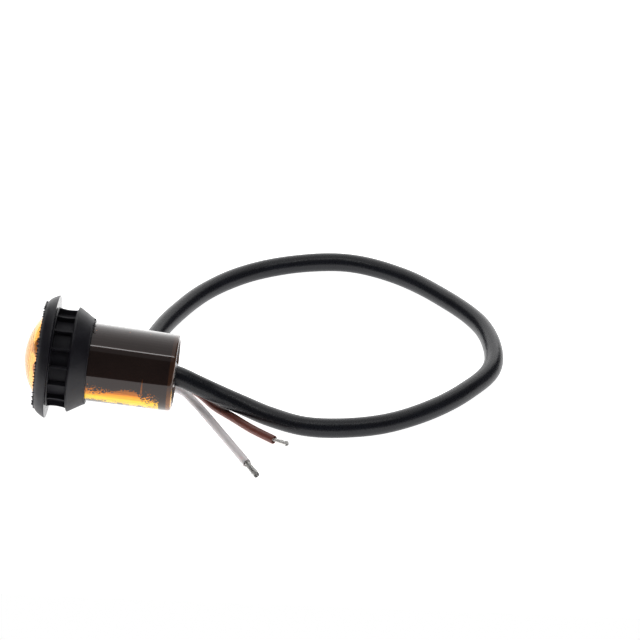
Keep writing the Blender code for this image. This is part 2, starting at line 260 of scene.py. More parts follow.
def tube_rows(points, radii, around):
    """Rings along the line. radii is one radius for each point, or one for each point and angle."""
    sides, ups = frames_along(points)
    angles = np.linspace(0, 2 * math.pi, around, endpoint=False)
    radii = np.asarray(radii, float)
    if radii.ndim == 1:
        radii = radii[:, None] * np.ones(around)
    rows = points[:, None, :] + radii[:, :, None] * (
        np.cos(angles)[None, :, None] * sides[:, None, :] + np.sin(angles)[None, :, None] * ups[:, None, :]
    )
    return rows


def wave(angles, seed, low, high, count=9):
    """A smooth repeatable variation round a ring, about -1 to 1."""
    rng = np.random.default_rng(seed)
    total = np.zeros_like(angles)
    for _ in range(count):
        size = rng.uniform(0.4, 1.0)
        turns = rng.integers(low, high)
        total += size * np.sin(turns * angles + rng.uniform(0, 2 * math.pi))
    return total / (count * 0.45)


# ------------------------------------------------------------ material helpers


class Look:
    """A node material built a step at a time around one Principled shader."""

    def __init__(self, name, **values):
        self.material = bpy.data.materials.new(name)
        self.material.use_nodes = True
        self.tree = self.material.node_tree
        self.shader = self.tree.nodes["Principled BSDF"]
        self.set(**values)

    def set(self, **values):
        for key, value in values.items():
            socket = self.shader.inputs[key.replace("_", " ")]
            if isinstance(value, bpy.types.NodeSocket):
                self.tree.links.new(value, socket)
            elif isinstance(value, tuple) and len(value) == 3 and socket.type == "RGBA":
                socket.default_value = (*value, 1.0)
            else:
                socket.default_value = value

    def node(self, kind, inputs=None, **props):
        node = self.tree.nodes.new(kind)
        for key, value in props.items():
            setattr(node, key, value)
        for key, value in (inputs or {}).items():
            socket = node.inputs[key]
            if isinstance(value, bpy.types.NodeSocket):
                self.tree.links.new(value, socket)
            else:
                socket.default_value = value
        return node

    def coords(self, scale=(1.0, 1.0, 1.0), kind="Object"):
        source = self.node("ShaderNodeTexCoord").outputs[kind]
        return self.node("ShaderNodeMapping", {"Vector": source, "Scale": scale}).outputs["Vector"]

    def noise(self, vector, scale, detail=3.0, roughness=0.5):
        values = {"Vector": vector, "Scale": scale, "Detail": detail, "Roughness": roughness}
        return self.node("ShaderNodeTexNoise", values).outputs["Fac"]

    def ramp(self, factor, *stops):
        """A colour ramp. Each stop is (position, colour)."""
        ramp = self.node("ShaderNodeValToRGB", {"Fac": factor})
        elements = ramp.color_ramp.elements
        while len(elements) < len(stops):
            elements.new(0.5)
        for element, (position, colour) in zip(elements, stops):
            element.position = position
            element.color = (*colour, 1.0)
        return ramp.outputs["Color"]

    def span(self, value, low, high, to_low=0.0, to_high=1.0, smooth=False):
        kind = "SMOOTHSTEP" if smooth else "LINEAR"
        inputs = {"Value": value, "From Min": low, "From Max": high, "To Min": to_low, "To Max": to_high}
        return self.node("ShaderNodeMapRange", inputs, interpolation_type=kind).outputs["Result"]

    def maths(self, operation, first, second=0.0, third=0.0):
        node = self.node("ShaderNodeMath", {0: first, 1: second, 2: third}, operation=operation)
        return node.outputs["Value"]

    def mix(self, factor, first, second):
        node = self.node("ShaderNodeMix", data_type="RGBA")
        for index, value in ((0, factor), (6, first), (7, second)):
            if isinstance(value, bpy.types.NodeSocket):
                self.tree.links.new(value, node.inputs[index])
            elif isinstance(value, tuple):
                node.inputs[index].default_value = (*value, 1.0)
            else:
                node.inputs[index].default_value = value
        return node.outputs[2]

    def bump(self, height, strength, distance, normal=None):
        inputs = {"Height": height, "Strength": strength, "Distance": distance}
        if normal is not None:
            inputs["Normal"] = normal
        return self.node("ShaderNodeBump", inputs).outputs["Normal"]


def grommet_look():
    look = Look("moulded_rubber")
    place = look.coords()
    cloud = look.noise(place, 300.0, 5.0, 0.6)
    fine = look.noise(place, 5200.0, 2.0)
    # light scuffs that run round the collar and along the neck
    stretched = look.coords((240.0, 240.0, 1300.0))
    scuff = look.noise(stretched, 1.0, 6.0, 0.7)
    marks = look.span(scuff, 0.6, 0.78, 0.0, 1.0)
    colour = look.ramp(cloud, (0.3, (0.005, 0.0044, 0.0085)), (0.75, (0.0088, 0.008, 0.014)))
    colour = look.mix(look.maths("MULTIPLY", marks, 0.4), colour, (0.03, 0.031, 0.036))
    soft = look.bump(cloud, 0.3, 0.00025)
    normal = look.bump(look.maths("ADD", fine, look.maths("MULTIPLY", marks, 0.6)), 0.4, 0.00004, soft)
    # the flange's back face is glossier, as the mould left it
    height = look.node("ShaderNodeSeparateXYZ", {"Vector": place}).outputs["Z"]
    back = look.maths("LESS_THAN", look.maths("ABSOLUTE", height), 0.00006)
    rough = look.span(cloud, 0.3, 0.7, 0.38, 0.52)
    rough = look.maths("SUBTRACT", rough, look.maths("MULTIPLY", back, 0.26))
    # the neck's pockets are duller than the rest
    neck = look.maths("MULTIPLY", look.span(height, -0.0048, -0.0045), look.span(height, -0.0002, -0.0004))
    rough = look.maths("ADD", rough, look.maths("MULTIPLY", neck, 0.22))
    look.set(Base_Color=colour, Roughness=rough, Normal=normal, Specular_IOR_Level=0.4)
    return look.material


def tube_look():
    """Amber tube over black potting, with a void where the potting left the wall. The void's amber is
    painted brighter toward the bottom and given a glow, as painted light shining through the wall from the
    floor below.

    along is millimetres from the flange's back face to the rear, and turn is degrees from the top.
    """
    look = Look("amber_tube_over_potting")
    place = look.node("ShaderNodeTexCoord").outputs["Object"]
    parts = look.node("ShaderNodeSeparateXYZ", {"Vector": place})
    x, y, z = (parts.outputs[k] for k in "XYZ")
    along = look.maths("MULTIPLY", z, -1000.0)
    turn = look.maths("MULTIPLY", look.maths("ARCTAN2", look.maths("MULTIPLY", y, -1.0), x), 180 / math.pi)

    def edge(points):
        """A turn angle against the distance along the tube, both scaled to 0..1 in the curve."""
        far, widest = 32.0, 200.0
        node = look.node("ShaderNodeFloatCurve", {"Value": look.maths("DIVIDE", along, far)})
        curve = node.mapping.curves[0]
        while len(curve.points) < len(points):
            curve.points.new(0.5, 0.5)
        for point, (s, a) in zip(curve.points, points):
            point.location = (s / far, a / widest)
            point.handle_type = "VECTOR"
        node.mapping.update()
        return look.maths("MULTIPLY", node.outputs["Value"], widest)

    crumbs = look.noise(look.coords(), 2000.0, 3.0, 0.65)
    crumbs = look.maths("SUBTRACT", crumbs, 0.5)
    lumps = look.noise(look.coords((1.0, 1.0, 0.45)), 700.0, 2.0, 0.5)
    lumps = look.maths("SUBTRACT", lumps, 0.5)
    top = edge([
        (0, 200), (8, 103), (12, 104), (16, 102), (19, 96),
        (21.5, 96), (23, 109), (25, 111), (27, 119), (27.5, 200), (32, 200),
    ])
    low = edge([(0, 0), (8, 128), (16, 129), (20, 133), (24, 130), (27, 136), (27.5, 0), (32, 0)])
    rough = edge([(0, 75), (12, 75), (16, 20), (22, 20), (24, 110), (27, 130), (32, 130)])
    above = look.maths("SUBTRACT", turn, top)
    above = look.maths("ADD", above, look.maths("MULTIPLY", crumbs, rough))
    below = look.maths("SUBTRACT", low, turn)
    below = look.maths("ADD", below, look.maths("MULTIPLY", look.maths("ADD", crumbs, lumps), 34.0))
    inside = look.maths("MULTIPLY", look.span(above, -0.6, 0.6), look.span(below, -0.8, 0.8))
    # one thin run of clear wall above the void
    width = look.span(turn, 74.0, 94.0, 0.06, 0.24)
    run = look.maths("LESS_THAN", look.maths("ABSOLUTE", look.maths("SUBTRACT", along, 22.7)), width)
    run = look.maths("MULTIPLY", run, look.span(turn, 74.0, 86.0))
    run = look.maths("MULTIPLY", run, look.maths("LESS_THAN", turn, 100.0))
    void = look.maths("MAXIMUM", inside, look.maths("MULTIPLY", run, 0.75))
    # painted light: the void's amber brightens toward the bottom, standing in for floor light shining
    # through the wall; streaks make it uneven
    streaks = look.noise(look.coords((900.0, 900.0, 60.0)), 1.0, 3.0, 0.6)
    uneven = look.span(streaks, 0.35, 0.7, -0.18, 0.22)
    painted_light_toward_floor = look.maths("ADD", look.span(turn, 99.0, 117.0), uneven)
    bright = look.ramp(
        painted_light_toward_floor,
        (0.0, (0.25, 0.065, 0.002)),
        (0.3, (0.7, 0.2, 0.001)),
        (0.6, (0.9, 0.34, 0.001)),
        (1.0, (1.0, 0.62, 0.002)),
    )
    # four specks of amber along the top, where bubbles touch the wall
    speck = 0.0
    for at, angle in ((10.0, -6.0), (18.0, 2.0), (23.0, 5.0), (26.0, 14.0)):
        across = look.maths("MULTIPLY", look.maths("SUBTRACT", turn, -angle), 0.167)
        away = look.maths("SUBTRACT", along, at)
        apart = look.maths("ADD", look.maths("MULTIPLY", across, across), look.maths("MULTIPLY", away, away))
        speck = look.maths("MAXIMUM", speck, look.maths("LESS_THAN", apart, 0.018))
    cloud = look.noise(place, 190.0, 3.0)
    dark = look.ramp(cloud, (0.3, (0.015, 0.0075, 0.006)), (0.8, (0.022, 0.0118, 0.0095)))
    dark = look.mix(look.maths("MULTIPLY", speck, 0.8), dark, (0.5, 0.14, 0.02))
    # the tube's last millimetre shows the wall's own amber, brown on top; its lower side is painted lighter
    # amber, as painted light from the floor below
    end = look.span(along, 28.7, 28.95)
    end_amber_painted_lit_below = look.mix(look.span(turn, 80.0, 108.0), (0.06, 0.025, 0.013), (0.22, 0.085, 0.025))
    dark = look.mix(end, dark, end_amber_painted_lit_below)
    # the void takes the painted bright amber, and an emission glow that stands in for light shining through
    # the wall
    colour = look.mix(void, dark, bright)
    painted_glow = look.mix(void, (0.0, 0.0, 0.0), bright)
    look.set(Base_Color=colour, Roughness=0.18, Specular_IOR_Level=0.07, Specular_Tint=(1.0, 0.45, 0.4))
    look.set(Emission_Color=painted_glow, Emission_Strength=0.3)
    look.set(Coat_Weight=1.0, Coat_Roughness=0.015, Coat_IOR=1.5)
    ripple = look.noise(look.coords((1.0, 1.0, 0.3)), 110.0, 2.0)
    look.set(Coat_Normal=look.bump(ripple, 0.06, 0.0004), Normal=look.bump(void, 0.3, 0.0003))
    return look.material


def clear_amber():
    """Clear plastic whose amber comes from its thickness."""
    look = Look("clear_amber", Base_Color=(1.0, 0.95, 0.88), Roughness=0.02)
    look.set(IOR=1.49, Transmission_Weight=1.0)
    flow = look.noise(look.coords(), 120.0, 2.0)
    look.set(Normal=look.bump(flow, 0.05, 0.0004))
    absorb = look.node("ShaderNodeVolumeAbsorption", {"Color": (0.985, 0.7, 0.04, 1.0), "Density": 640.0})
    look.tree.links.new(absorb.outputs["Volume"], look.tree.nodes["Material Output"].inputs["Volume"])
    return look.material


def plastic_look(name, base, light, rough, grain=1800.0, depth=0.00003, streak=None):
    look = Look(name)
    place = look.coords() if streak is None else look.coords(streak)
    cloud = look.noise(look.coords(), 350.0, 3.0)
    fine = look.noise(place, grain, 3.0)
    colour = look.ramp(cloud, (0.3, base), (0.75, light))
    look.set(Base_Color=colour, Roughness=look.span(fine, 0.3, 0.7, rough - 0.05, rough + 0.07))
    look.set(Normal=look.bump(fine, 0.35, depth))
    return look.material


def metal_look(name, base, light, rough):
    look = Look(name, Metallic=1.0)
    place = look.coords()
    patches = look.noise(place, 2300.0, 4.0, 0.6)
    colour = look.ramp(patches, (0.35, base), (0.65, light))
    look.set(Base_Color=colour, Roughness=look.span(patches, 0.3, 0.7, rough, rough + 0.25))
    look.set(Normal=look.bump(look.noise(place, 5000.0, 3.0), 0.5, 0.00006))
    return look.material


# ---------------------------------------------------------------------- pieces


def lip_teeth(angles):
    """The torn moulding flash round the grommet's lip: 0 where it is clean, 1 at a tooth's tip."""
    rng = np.random.default_rng(11)
    height = np.zeros_like(angles)
    at = 0.0
    while at < 2 * math.pi:
        width = rng.uniform(0.028, 0.055)
        tall = rng.choice([0.45, 0.7, 0.85, 1.0])
        lean = rng.uniform(0.25, 0.75)
        local = (angles - at) / width
        shape = np.where(local < lean, local / lean, (1 - local) / (1 - lean))
        height = np.maximum(height, tall * np.clip(shape, 0, 1) ** 0.45)
        at += width * rng.uniform(1.25, 2.0)
    return height


def make_grommet():
    rubber = grommet_look()
    pitch = 360.0 / RIBS
    half = [0.0, 0.4, 0.8, 0.95, 1.05, 1.15, 1.25, 1.35, 1.5, 1.75, 2.2, 3.2, 5.0, 7.0, 9.0, 11.25]
    offsets = [-v for v in reversed(half[1:-1])] + half
    degrees = np.array([RIB_PHASE + pitch * k + v for k in range(RIBS) for v in offsets])
    deltas = np.array([v for _ in range(RIBS) for v in offsets])
    angles = np.radians(degrees)
    edge = np.clip((np.abs(deltas) - 0.95) / 0.55, 0, 1)
    pocket = edge * edge * (3 - 2 * edge)
    front = smooth_profile(
        [(12.75, 2.97), (13.15, 2.74), (13.75, 2.28), (14.25, 1.66), (14.72, 0.82), (14.97, 0.3)], 4
    )
    bore = [(9.72, -9.15), (9.72, -4.0), (9.72, 1.2), (9.8, 1.3), (11.5, 1.3)]
    seat = [(11.6, 1.4), (11.6, 2.6), (11.68, 2.78), (11.9, 2.88), (12.4, 2.97)]
    stations = [("plain", r, z) for r, z in bore + seat]
    stations += [("plain", r, z) for r, z in front]
    back = [(15.0, 0.16), (14.98, 0.06), (14.9, 0.01), (14.8, 0.0), (14.0, 0.0), (13.0, 0.0)]
    back += [(12.35, 0.0), (12.16, -0.04), (NECK_RADIUS, -0.12)]
    stations += [("plain", r, z) for r, z in back]
    stations += [("plain", NECK_RADIUS, -0.2)]
    for z, depth in [(-0.26, 0.04), (-0.29, 0.25), (-0.31, 0.6), (-0.33, 0.9), (-0.38, 0.98), (-0.5, 1.0)]:
        stations.append(("neck", depth, z))
    for z in np.linspace(-0.8, -4.1, 12):
        stations.append(("neck", 1.0, z))
    for z, depth in [(-4.35, 1.0), (-4.47, 0.97), (-4.52, 0.85), (-4.55, 0.5), (-4.58, 0.2), (-4.62, 0.03)]:
        stations.append(("neck", depth, z))
    collar_edge = [(NECK_RADIUS, -4.7), (12.12, -4.78), (12.25, -4.83), (12.62, -4.88), (12.76, -4.93)]
    stations += [("plain", r, z) for r, z in collar_edge]
    stations += [("plain", 12.8, -5.02), ("plain", 12.79, -5.14)]
    taper = smooth_profile([(12.72, -5.3), (12.2, -6.15), (11.62, -7.1), (11.0, -8.1), (10.62, -8.75)], 5)
    stations += [("plain", r, z) for r, z in taper]
    stations += [("lip", r, z) for r, z in [(10.56, -8.86), (10.53, -8.98), (10.46, -9.1), (10.3, -9.17)]]
    stations += [("plain", r, z) for r, z in [(10.1, -9.19), (9.85, -9.2)]]
    floor_r = POCKET_FLOOR_RADIUS + 0.02 * wave(angles, 3, 3, 20)
    ragged = np.clip(np.maximum(wave(angles, 5, 60, 150), 0.6 * wave(angles, 6, 90, 180)), 0, 1)
    torn = np.exp(-(((degrees + 180) % 360 - 180) / 16.0) ** 2)
    nib = np.exp(-(((degrees + 130 + 180) % 360 - 180) / 4.0) ** 2)
    rows = []
    for kind, first, z in stations:
        if kind == "neck":
            waist = 0.2 * (1 - min(1.0, ((z + 2.45) / 2.15) ** 2))
            crest = NECK_RADIUS - waist + 0.03 * wave(angles, 9, 20, 60)
            base = crest + (floor_r - crest) * first
            radius = crest * (1 - pocket) + base * pocket
            rows.append(ring_points(radius * MM, z * MM, angles))
        elif kind == "lip":
            grow = 0.04 * ragged + 0.6 * torn * ragged + 0.35 * nib
            away = 0.12 * ragged * (0.3 + torn) + 1.0 * torn * ragged ** 2 + 0.2 * nib
            share = np.interp(-z, [8.86, 8.98, 9.1, 9.17], [0.3, 1.0, 1.0, 0.3])
            rows.append(ring_points((first + grow * share) * MM, (z - away * share) * MM, angles))
        else:
            rows.append(ring_points(first * MM, z * MM, angles))
    body = grid_mesh("grommet_body", rows, rubber, LAMP, True)
    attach(body, "grommet")
    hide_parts("grommet")

    angles = np.linspace(0, 2 * math.pi, 1800, endpoint=False)
    teeth = lip_teeth(angles)
    lean = 0.12 * wave(angles, 21, 30, 120)
    rows = [
        ring_points(13.12 * MM, 2.72 * MM, angles),
        ring_points((13.05 + 0.1 * teeth) * MM, (2.8 + 0.12 * teeth) * MM, angles),
        ring_points((12.98 + lean + 0.12 * teeth) * MM, (2.84 + 0.5 * teeth) * MM, angles),
        ring_points((12.86 + lean + 0.05 * teeth) * MM, (2.86 + 0.53 * teeth) * MM, angles),
        ring_points(12.78 * MM, 2.9 * MM, angles),
        ring_points(12.6 * MM, 2.85 * MM, angles),
    ]
    flash = grid_mesh("grommet_lip_flash", rows, rubber, LAMP)
    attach(flash, "grommet")


def sphere_rows(radius, first_r, last_r, count, centre_z=DOME_CENTRE_Z):
    points = []
    start = math.asin(first_r / radius)
    end = math.asin(last_r / radius)
    for i in range(count + 1):
        angle = start + (end - start) * i / count
        points.append((radius * math.sin(angle), centre_z + radius * math.cos(angle)))
    return points


def make_lens():
    outside = sphere_rows(DOME_RADIUS, 0.05, 10.6, 40)
    inside = sphere_rows(DOME_INNER_RADIUS, 0.05, 8.55, 60)
    rings = []
    for r, z in inside:
        ripple = 0.015 * math.sin(2 * math.pi * r / 0.9) * min(1.0, max(0.0, (7.4 - r) / 1.2))
        rings.append((r, z + ripple))
    profile = [
        *outside,
        (10.66, 2.58),
        (10.8, 2.56),
        (11.2, 2.55),
        (11.33, 2.5),
        (11.38, 2.44),
        (11.4, 2.35),
        (11.4, 1.5),
        (11.35, 1.42),
        (11.2, 1.4),
        (9.7, 1.4),
        (8.75, 1.4),
        (8.62, 1.5),
        (8.6, 2.5),
        *reversed(rings),
    ]
    dome = turned("amber_dome", profile, clear_amber(), 200, (True, True))
    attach(dome, "lamp")
    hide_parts("lens_housing")


def make_tube():
    tube = tube_look()
    profile = [
        (8.62, 1.34),
        (9.5, 1.36),
        (9.6, 1.3),
        (9.6, -9.0),
        *[(9.6 - 0.24 * k / 12, -9.0 - 20.3 * k / 12) for k in range(1, 13)],
        (9.34, -29.5),
        (9.3, -29.68),
        (9.22, -29.83),
    ]
    shell = turned("amber_tube", profile, tube, 240)
    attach(shell, "lamp")

    # the tube's end, where the wall's own amber shows; its lower side is painted bright amber with a glow,
    # as painted light shining through from the floor below
    end = Look("amber_tube_end")
    place = end.node("ShaderNodeTexCoord").outputs["Object"]
    parts = end.node("ShaderNodeSeparateXYZ", {"Vector": place})
    turn = end.maths("ARCTAN2", end.maths("MULTIPLY", parts.outputs["Y"], -1.0), parts.outputs["X"])
    turn = end.maths("MULTIPLY", turn, 180 / math.pi)
    # painted light: the lower side of the end ring is painted lit, bright amber, and the rest stays brown
    starts = end.span(turn, 82.0, 100.0, smooth=True)
    ends = end.span(turn, 132.0, 120.0, smooth=True)
    low = end.maths("MULTIPLY", starts, ends)
    mottle = end.noise(place, 900.0, 4.0, 0.6)
    brown = end.ramp(mottle, (0.35, (0.03, 0.012, 0.007)), (0.7, (0.16, 0.055, 0.018)))
    clear = end.ramp(mottle, (0.3, (0.5, 0.2, 0.01)), (0.7, (1.0, 0.55, 0.03)))
    end.set(Base_Color=end.mix(low, brown, clear), Roughness=0.18, Coat_Weight=1.0, Coat_Roughness=0.05)
    # painted glow on the lit lower side of the end ring
    end.set(Emission_Color=end.mix(low, (0.0, 0.0, 0.0), clear), Emission_Strength=0.2)
    end.set(Normal=end.bump(mottle, 0.3, 0.0001))
    profile = [(9.22, -29.83), (9.1, -29.98), (8.97, -30.07), (8.82, -30.1), (8.58, -30.1), (8.45, -30.06),
               (8.38, -29.95), (8.36, -29.7), (8.36, -29.2)]
    ring = turned("amber_tube_end", profile, end.material, 240)
    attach(ring, "lamp")


def make_potting():
    look = Look("black_potting")
    place = look.coords()
    cloud = look.noise(place, 160.0, 3.0)
    dust = look.span(look.noise(place, 2600.0, 5.0, 0.7), 0.62, 0.8)
    colour = look.ramp(cloud, (0.3, (0.006, 0.005, 0.005)), (0.7, (0.013, 0.011, 0.01)))
    look.set(Base_Color=look.mix(look.maths("MULTIPLY", dust, 0.4), colour, (0.06, 0.055, 0.05)))
    look.set(Roughness=look.span(cloud, 0.3, 0.7, 0.08, 0.2))
    look.set(Normal=look.bump(look.noise(place, 420.0, 3.0), 0.25, 0.0002))
    angles = np.linspace(0, 2 * math.pi, 160, endpoint=False)
    uneven = wave(angles, 31, 1, 6)
    # the surface climbs a little at the wall and again round the cord, which sits below the middle
    profile = [(8.1, -6.0, 0), (8.3, -6.3, 0), (8.34, -20.0, 0), (8.36, -29.3, 0), (8.2, -29.27, 0),
               (7.9, -29.1, 0), (7.3, -28.95, 0), (6.3, -28.88, 0.1), (5.2, -28.9, 0.3), (4.4, -29.0, 0.6),
               (3.7, -29.25, 0.85), (3.1, -29.7, 1), (2.75, -30.05, 1.05),
               (2.5, -30.25, 1.1), (2.3, -30.1, 1.1)]
    rows = []
    for r, z, off in profile:
        ring = ring_points((r + 0.12 * off * uneven) * MM, (z - 0.08 * off * uneven) * MM, angles)
        ring[:, 0] -= 0.55 * off * MM
        rows.append(ring)
    fill = grid_mesh("potting_fill", rows, look.material, LAMP)
    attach(fill, "lamp")
    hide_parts("potting_compound")


def make_leds():
    epoxy = Look("led_epoxy", Base_Color=(1.0, 0.42, 0.06), Roughness=0.2, IOR=1.5, Transmission_Weight=0.35)
    epoxy.set(Normal=epoxy.bump(epoxy.noise(epoxy.coords(), 500.0, 2.0), 0.1, 0.0002))
    metal = metal_look("led_frame_metal", (0.5, 0.5, 0.48), (0.8, 0.8, 0.78), 0.2)
    chip = plastic_look("led_chip", (0.75, 0.5, 0.08), (0.9, 0.65, 0.15), 0.5)
    for index in range(3):
        angle = math.pi / 2 + 2 * math.pi * index / 3
        centre = (LED_CIRCLE * math.cos(angle), LED_CIRCLE * math.sin(angle))
        steps = [math.radians(a) for a in range(1, 91, 6)]
        dome = [(LED_RADIUS * math.sin(a), 2.35 + LED_RADIUS * math.cos(a)) for a in steps]
        foot = [(2.55, -2.7), (2.8, -2.75), (2.85, -2.85), (2.85, -3.65), (2.75, -3.75)]
        profile = [*dome, (LED_RADIUS, 2.2), (LED_RADIUS, -2.6), *foot]
        body = turned(f"led_{index + 1}_body", profile, epoxy.material, 48, (True, True), centre=centre)
        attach(body, "lamp")
        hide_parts(f"led_{index + 1}")
        cup = [(0.25, 0.75), (0.55, 0.85), (0.95, 1.35), (1.1, 1.38), (1.12, 1.2), (0.8, 0.4), (0.45, 0.2),
               (0.4, -2.0)]
        holder = turned(f"led_{index + 1}_cup", cup, metal, 32, (True, True), centre=centre)
        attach(holder, "lamp")
        die = turned(f"led_{index + 1}_chip", [(0.3, 0.95), (0.32, 0.9), (0.32, 0.7)], chip, 4, (True, True),
                     centre=centre)
        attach(die, "lamp")


def make_reflector():
    amber = plastic_look("reflector_amber", (0.8, 0.3, 0.05), (0.9, 0.38, 0.08), 0.3)
    angles = np.linspace(0, 2 * math.pi, 192, endpoint=False)
    # a dished plate: the dish flows into three cups, one round each LED
    centres = [math.pi / 2 + 2 * math.pi * k / 3 for k in range(3)]
    rows = []
    for r in np.concatenate([np.linspace(0.05, 7.4, 60), [7.6, 7.75, 7.9, 8.1, 8.2, 8.2]]):
        x = r * np.cos(angles)
        y = r * np.sin(angles)
        spans = [np.hypot(x - LED_CIRCLE * math.cos(a), y - LED_CIRCLE * math.sin(a)) for a in centres]
        near = np.min(spans, axis=0)
        dish = np.interp(r, [0, 5.8, 7.7, 8.2], [0.9, 0.45, 1.95, 2.0])
        cup = np.interp(near, [0, 2.6, 2.75, 3.3, 3.8], [-1.5, -1.5, -0.6, 0.0, 1.0])
        z = np.where(near < 3.8, cup * (dish + 0.6) - 0.6, dish)
        rows.append(np.stack([x * MM, y * MM, z * MM], 1))
    rows[-1][:, 2] = -1.4 * MM
    plate = grid_mesh("reflector_plate", rows, amber, LAMP, caps=(True, False))
    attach(plate, "lamp")
    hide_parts("reflector")


def dress_nodes():
    """Finishes for the solids that stay as they are, inside the housing."""
    tin = metal_look("tinned_leg", (0.5, 0.5, 0.48), (0.75, 0.75, 0.73), 0.25)
    solder = metal_look("solder", (0.45, 0.45, 0.44), (0.8, 0.8, 0.78), 0.18)
    board = plastic_look("board_white", (0.7, 0.7, 0.66), (0.8, 0.8, 0.76), 0.35, 900.0)
    black = plastic_look("component_black", (0.015, 0.015, 0.016), (0.035, 0.035, 0.036), 0.5)
    white = plastic_look("inner_white", (0.6, 0.58, 0.58), (0.72, 0.7, 0.7), 0.4)
    brown = plastic_look("inner_brown", (0.12, 0.04, 0.03), (0.18, 0.07, 0.05), 0.4)
    looks = {"circuit_board": board, "series_resistor_1": black, "series_resistor_2": black,
             "polarity_diode": black, "white_solder_joint": solder, "brown_solder_joint": solder,
             "white_inner_core": white, "brown_inner_core": brown, "white_inner_strands": tin,
             "brown_inner_strands": tin}
    for index in (1, 2, 3):
        for side in ("anode", "cathode"):
            looks[f"led_{index}_{side}_leg"] = tin
    for name, material in looks.items():
        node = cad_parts[name]
        node.data.materials.clear()
        node.data.materials.append(material)


def jacket_look():
    look = Look("cord_jacket")
    place = look.coords()
    route = look.coords((3.2, 3.2, 1.0), "UV")
    cloud = look.noise(place, 160.0, 4.0)
    grain = look.noise(place, 2600.0, 3.0, 0.6)
    fine = look.noise(place, 6500.0, 2.0)
    drawn = look.noise(look.coords((46.0, 0.35, 1.0), "UV"), 1.0, 3.0)
    height = look.maths("ADD", look.maths("ADD", grain, look.maths("MULTIPLY", fine, 0.5)), drawn)
    colour = look.ramp(cloud, (0.3, (0.0055, 0.006, 0.0095)), (0.75, (0.0095, 0.0105, 0.0155)))
    dust = look.span(look.noise(route, 4.0, 6.0, 0.75), 0.66, 0.8)
    colour = look.mix(look.maths("MULTIPLY", dust, 0.35), colour, (0.07, 0.07, 0.075))
    look.set(Base_Color=colour, Roughness=look.span(grain, 0.3, 0.7, 0.24, 0.34))
    look.set(Specular_IOR_Level=0.36)
    look.set(Normal=look.bump(height, 0.5, 0.00005))
    return look.material


def make_jacket():
    line = smooth_line(CORD_ROUTE[1:])
    points, length = even_points(line, 0.7 * MM)
    radius = JACKET_DIAMETER / 2
    radii = np.full(len(points), radius)
    lengths = np.linspace(0, length, len(points))
    radii += 0.02 * MM * np.sin(lengths / MM * 0.37) * np.sin(lengths / MM * 0.11 + 1.0)
    # the cut end: a rounded rim, then the hollow that the cores come out of
    direction = points[-1] - points[-2]
    direction /= np.linalg.norm(direction)
    rows = tube_rows(points, radii, JACKET_SIDES)
    centre = rows[-1].mean(0)
    spokes = rows[-1] - centre
    closing = []
    for share, step in [(0.985, 0.05), (0.95, 0.08), (0.86, 0.08), (0.82, 0.02), (0.81, -1.2), (0.3, -1.25)]:
        closing.append(centre + spokes * share + direction * step * MM)
    rows = np.concatenate([rows, np.array(closing)])
    all_lengths = np.concatenate([lengths, np.full(len(closing), length)])
    uv = np.stack(np.meshgrid(np.linspace(0, 1, JACKET_SIDES, endpoint=False), all_lengths / MM), -1)
    jacket = grid_mesh("cord_sheath", rows, jacket_look(), None, False, True, (True, True), uv)
    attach(jacket, "lamp")
    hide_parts("cord_jacket")


def strand_mesh(name, start, end, radius, strands, turns, thickness, splay, material, seed):
    """A bundle of twisted bare strands, as one mesh."""
    start = np.array(start)
    end = np.array(end)
    axis = end - start
    length = np.linalg.norm(axis)
    axis /= length
    side = np.cross(axis, (0.0, 0.0, 1.0))
    side /= np.linalg.norm(side)
    up = np.cross(side, axis)
    rng = np.random.default_rng(seed)
    verts, faces = [], []
    steps = 36
    around = 10
    for index in range(strands):
        ring = 0.0 if index == 0 else 1.0
        phase = 2 * math.pi * index / max(1, strands - 1)
        drift = rng.uniform(0.2, 1.0) * splay
        short = rng.uniform(0.86, 1.0) if splay else rng.uniform(0.97, 1.0)
        wobble = rng.uniform(-1, 1, 2) * 0.12 * radius
        t = np.linspace(0, 1, steps) * short
        angle = phase + 2 * math.pi * turns * t
        out = (radius - thickness) * ring * (1 + drift * t ** 2)
        centre = start + t[:, None] * length * axis + (out * np.cos(angle) + wobble[0] * t)[:, None] * side
        centre = centre + (out * np.sin(angle) * (0.8 if splay else 1.0) + wobble[1] * t)[:, None] * up
        centre[:, 2] = np.maximum(centre[:, 2], thickness)
        size = np.full(steps, thickness)
        size[-1] *= 0.55
        size[-2] *= 0.9
        rows = tube_rows(centre, size, around)
        base = len(verts)
        verts.extend(rows.reshape(-1, 3).tolist())
        for i in range(steps - 1):
            for j in range(around):
                k = (j + 1) % around
                a = base + i * around
                faces.append((a + j, a + around + j, a + around + k, a + k))
        for row in (0, steps - 1):
            centre_index = len(verts)
            verts.append(rows[row].mean(0).tolist())
            for j in range(around):
                k = (j + 1) % around
                faces.append((base + row * around + j, centre_index, base + row * around + k))
    mesh = bpy.data.meshes.new(name)
    mesh.from_pydata(verts, [], faces)
    mesh.update()
    mesh.shade_smooth()
    return new_object(name, mesh, material)


